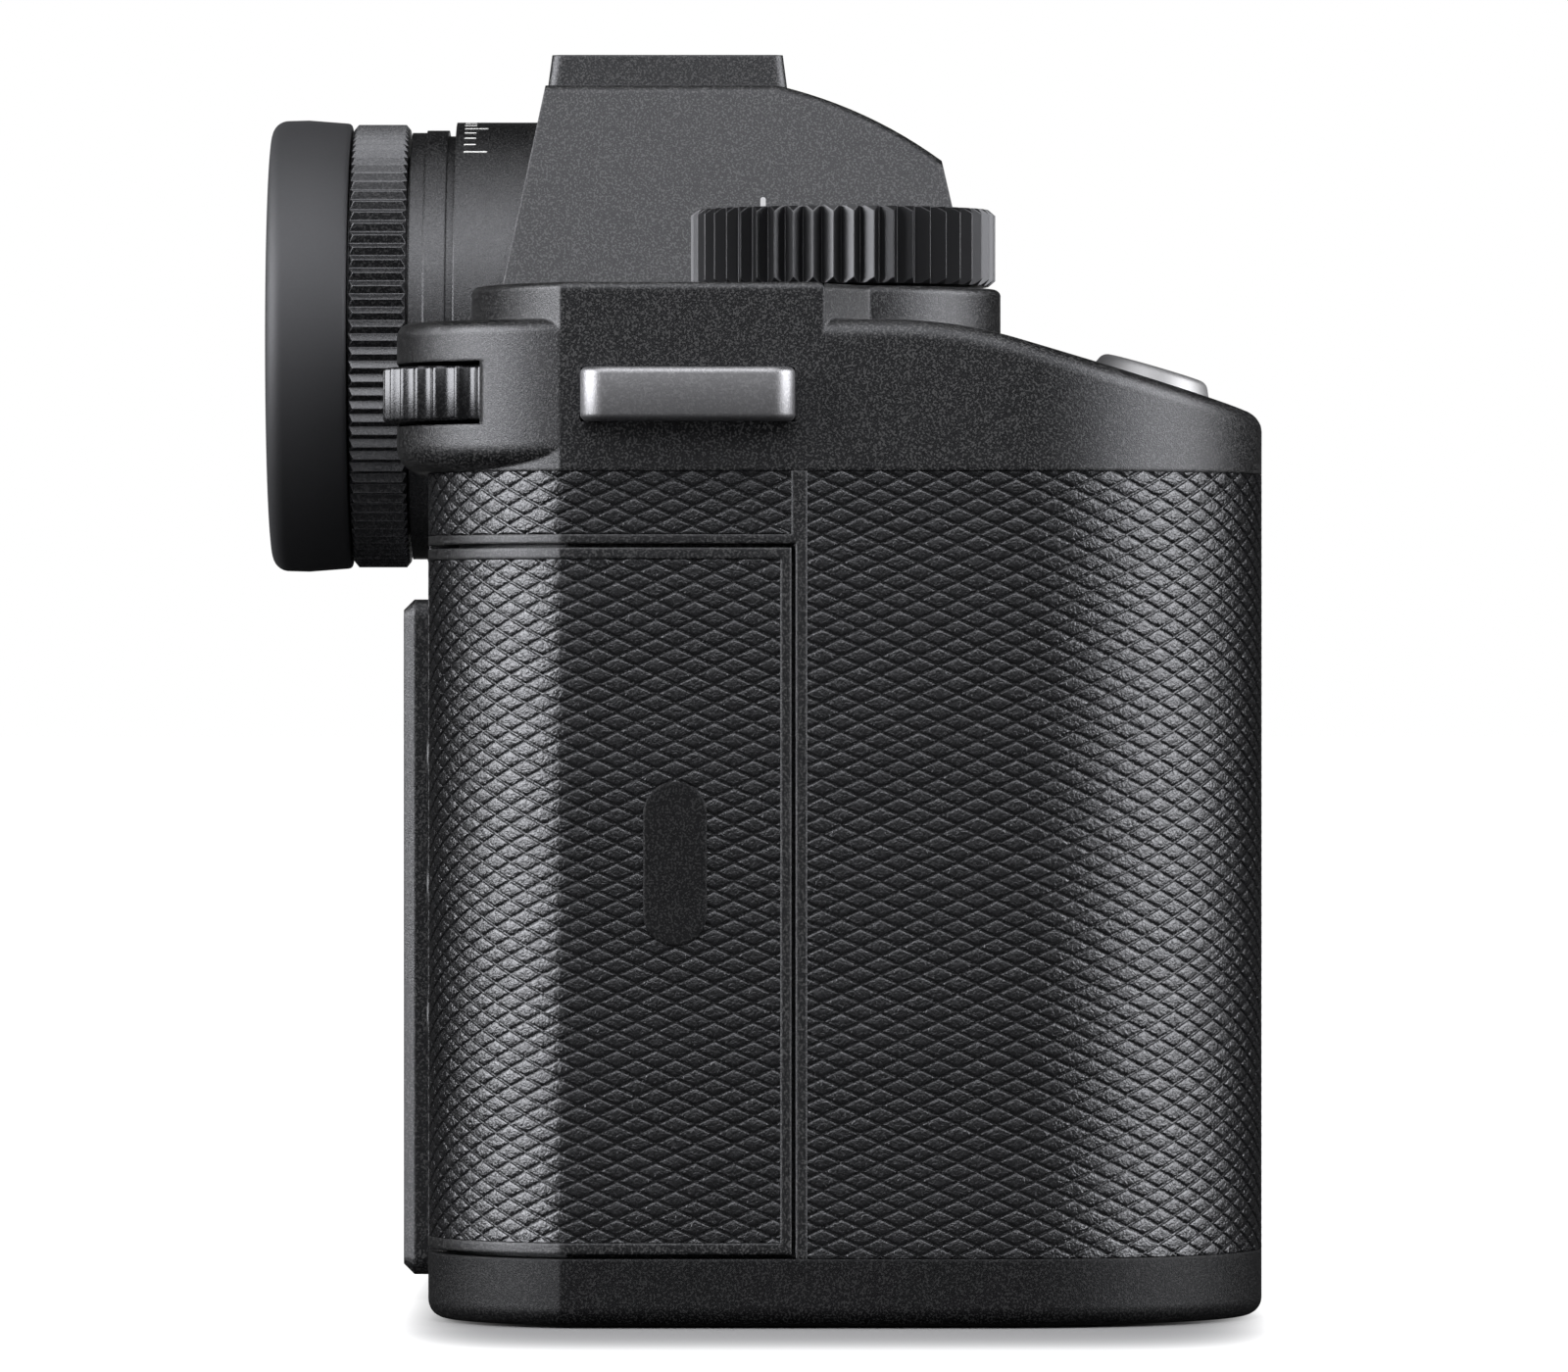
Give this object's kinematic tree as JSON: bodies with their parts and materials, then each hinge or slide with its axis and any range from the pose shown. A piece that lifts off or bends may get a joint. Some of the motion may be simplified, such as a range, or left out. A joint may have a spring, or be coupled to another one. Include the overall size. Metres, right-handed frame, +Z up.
{
  "type": "mirrorless camera body",
  "caption": "Full-frame mirrorless camera body with a deep grip, knurled top dial, round eyepiece, tilting display and card door.",
  "frame": {"origin": "centre of the tripod socket's mouth, on the base plane", "axes": "+Z up, -Y out of the lens mount, -X to the grip side"},
  "size_m": [0.1493, 0.0846, 0.107],
  "materials": {
    "body_black": "fine speckle satin paint",
    "anodised_black": "black anodised",
    "leather_black": "diamond embossed",
    "eyecup_rubber": "matt",
    "port_rubber": "matt",
    "satin_silver": "bead blasted",
    "lug_steel": "satin",
    "steel": "fine brushed",
    "screw_steel": "dark",
    "cast_metal": "cast",
    "key_black": "satin",
    "inner_plastic": "matt black",
    "gold": "plated",
    "optic_glass": "coated",
    "display_glass": "gloss black",
    "sensor_face": "iridescent",
    "board": "solder mask",
    "battery_shell": "satin",
    "leaf_black": "matt"
  },
  "bodies": {
    "camera_body": {"chassis": "cast_metal", "front_shell": "body_black", "rear_shell": "body_black", "base_plate": "body_black", "top_plate": "body_black", "grip_leather": "leather_black", "port_leather": "leather_black", "thumb_leather": "leather_black", "prism_housing": "body_black", "hot_shoe": "steel", "shoe_contacts": "gold", "mount_ring": "steel", "mount_screws": "screw_steel", "throat_baffle": "inner_plastic", "lens_contacts": "gold", "shutter_frame": "inner_plastic", "sensor_base": "cast_metal", "main_board": "board", "viewfinder_block": "inner_plastic", "eyepiece_barrel": "anodised_black", "eyecup": "eyecup_rubber", "top_window": "display_glass", "strap_lugs": "lug_steel", "card_slots": "inner_plastic", "battery_bay": "inner_plastic", "port_sockets": "inner_plastic", "tripod_socket": "steel", "base_screws": "screw_steel"},
    "top_dial_body": {"top_dial": "anodised_black"},
    "left_dial_body": {"left_dial": "anodised_black"},
    "thumb_wheel_body": {"thumb_wheel": "anodised_black"},
    "shutter_button_body": {"shutter_button": "satin_silver"},
    "top_key_body": {"function_key_top": "key_black"},
    "power_key_body": {"power_key": "key_black"},
    "front_key_upper_body": {"function_key_upper": "key_black"},
    "front_key_lower_body": {"function_key_lower": "key_black"},
    "lens_release_body": {"lens_release": "anodised_black"},
    "lock_pin_body": {"lock_pin": "steel"},
    "dioptre_body": {"dioptre_ring": "anodised_black"},
    "eyepiece_lens_body": {"eyepiece_lens": "optic_glass"},
    "joystick_body": {"joystick": "key_black"},
    "rear_key_upper_body": {"rear_key_upper": "key_black"},
    "rear_key_middle_body": {"rear_key_middle": "key_black"},
    "rear_key_lower_body": {"rear_key_lower": "key_black"},
    "display_arm_body": {"display_arm": "cast_metal"},
    "display_body": {"display_panel": "body_black", "display_glass": "display_glass"},
    "door_carriage_body": {"door_carriage": "steel"},
    "door_body": {"card_door": "body_black", "door_leather": "leather_black", "door_pad": "key_black"},
    "battery_body": {"battery": "battery_shell"},
    "battery_lever_body": {"battery_lever": "anodised_black"},
    "port_upper_body": {"port_cover_upper": "port_rubber"},
    "port_lower_body": {"port_cover_lower": "port_rubber"},
    "leaf_upper_body": {"shutter_leaf_upper": "leaf_black"},
    "leaf_lower_body": {"shutter_leaf_lower": "leaf_black"},
    "stage_body": {"stabiliser_stage": "cast_metal"},
    "sensor_body": {"image_sensor": "sensor_face", "sensor_glass": "optic_glass"}
  },
  "joints": [
    {"name": "top_dial_turn", "type": "hinge", "parent": "camera_body", "child": "top_dial_body", "pos_m": [-0.06, -0.0101, 0.08545], "axis": [0, 0, 1], "continuous": true},
    {"name": "left_dial_turn", "type": "hinge", "parent": "camera_body", "child": "left_dial_body", "pos_m": [0.045, 0.002, 0.0832], "axis": [0, 0, 1], "continuous": true},
    {"name": "thumb_wheel_turn", "type": "hinge", "parent": "camera_body", "child": "thumb_wheel_body", "pos_m": [-0.064, 0.0156, 0.07635], "axis": [0, 0, 1], "continuous": true},
    {"name": "shutter_press", "type": "slide", "parent": "camera_body", "child": "shutter_button_body", "axis": [0, 0.2807, -0.9598], "range_m": [0, 0.0008], "stiffness_N_per_m": 600},
    {"name": "top_key_press", "type": "slide", "parent": "camera_body", "child": "top_key_body", "axis": [0, 0, -1], "range_m": [0, 0.0005], "stiffness_N_per_m": 600},
    {"name": "power_press", "type": "slide", "parent": "camera_body", "child": "power_key_body", "axis": [0, 0, -1], "range_m": [0, 0.0005], "stiffness_N_per_m": 600},
    {"name": "front_key_upper_press", "type": "slide", "parent": "camera_body", "child": "front_key_upper_body", "axis": [0, 1, 0], "range_m": [0, 0.0005], "stiffness_N_per_m": 600},
    {"name": "front_key_lower_press", "type": "slide", "parent": "camera_body", "child": "front_key_lower_body", "axis": [0, 1, 0], "range_m": [0, 0.0005], "stiffness_N_per_m": 600},
    {"name": "lens_release_press", "type": "slide", "parent": "camera_body", "child": "lens_release_body", "axis": [0, 1, 0], "range_m": [0, 0.0016], "stiffness_N_per_m": 600},
    {"name": "lock_pin_draw", "type": "slide", "parent": "camera_body", "child": "lock_pin_body", "axis": [0, 1, 0], "range_m": [0, 0.0016]},
    {"name": "dioptre_turn", "type": "hinge", "parent": "camera_body", "child": "dioptre_body", "pos_m": [0, 0.0273, 0.0821], "axis": [0, 1, 0], "range_deg": [-90, 90]},
    {"name": "eyepiece_focus", "type": "slide", "parent": "camera_body", "child": "eyepiece_lens_body", "axis": [0, 1, 0], "range_m": [-0.001, 0.001]},
    {"name": "joystick_tilt", "type": "hinge", "parent": "camera_body", "child": "joystick_body", "pos_m": [-0.039, 0.0223, 0.059], "axis": [1, 0, 0], "range_deg": [-10, 10], "stiffness_Nm_per_rad": 0.02},
    {"name": "rear_key_upper_press", "type": "slide", "parent": "camera_body", "child": "rear_key_upper_body", "axis": [0, -1, 0], "range_m": [0, 0.0005], "stiffness_N_per_m": 600},
    {"name": "rear_key_middle_press", "type": "slide", "parent": "camera_body", "child": "rear_key_middle_body", "axis": [0, -1, 0], "range_m": [0, 0.0005], "stiffness_N_per_m": 600},
    {"name": "rear_key_lower_press", "type": "slide", "parent": "camera_body", "child": "rear_key_lower_body", "axis": [0, -1, 0], "range_m": [0, 0.0005], "stiffness_N_per_m": 600},
    {"name": "display_arm_tilt", "type": "hinge", "parent": "camera_body", "child": "display_arm_body", "pos_m": [0, 0.0251, 0.0032], "axis": [-1, 0, 0], "range_deg": [0, 45]},
    {"name": "display_tilt", "type": "hinge", "parent": "display_arm_body", "child": "display_body", "pos_m": [0, 0.0251, 0.0583], "axis": [1, 0, 0], "range_deg": [0, 90]},
    {"name": "door_slide", "type": "slide", "parent": "camera_body", "child": "door_carriage_body", "axis": [0, 1, 0], "range_m": [0, 0.003]},
    {"name": "door_swing", "type": "hinge", "parent": "door_carriage_body", "child": "door_body", "pos_m": [-0.0605, 0.0224, 0], "axis": [0, 0, -1], "range_deg": [0, 85]},
    {"name": "battery_draw", "type": "slide", "parent": "camera_body", "child": "battery_body", "axis": [0, 0, -1], "range_m": [0, 0.06]},
    {"name": "battery_lever_turn", "type": "hinge", "parent": "camera_body", "child": "battery_lever_body", "pos_m": [-0.043, -0.0015, 0], "axis": [0, 0, 1], "range_deg": [0, 30]},
    {"name": "port_upper_swing", "type": "hinge", "parent": "camera_body", "child": "port_upper_body", "pos_m": [0.0605, 0.0136, 0], "axis": [0, 0, 1], "range_deg": [0, 100]},
    {"name": "port_lower_swing", "type": "hinge", "parent": "camera_body", "child": "port_lower_body", "pos_m": [0.0605, 0.0136, 0], "axis": [0, 0, 1], "range_deg": [0, 100]},
    {"name": "curtain_upper_run", "type": "slide", "parent": "camera_body", "child": "leaf_upper_body", "axis": [0, 0, 1], "range_m": [0, 0.025]},
    {"name": "curtain_lower_run", "type": "slide", "parent": "camera_body", "child": "leaf_lower_body", "axis": [0, 0, 1], "range_m": [0, 0.0125]},
    {"name": "stage_shift", "type": "slide", "parent": "camera_body", "child": "stage_body", "axis": [1, 0, 0], "range_m": [-0.001, 0.001], "stiffness_N_per_m": 4000},
    {"name": "sensor_shift", "type": "slide", "parent": "stage_body", "child": "sensor_body", "axis": [0, 0, 1], "range_m": [-0.001, 0.001], "stiffness_N_per_m": 4000}
  ],
  "couplings": [
    {"joint": "lock_pin_draw", "follows": "lens_release_press", "ratio": 1},
    {"joint": "eyepiece_focus", "follows": "dioptre_turn", "m_per_rad": 0.00063025},
    {"joint": "curtain_lower_run", "follows": "curtain_upper_run", "ratio": 0.5}
  ]
}
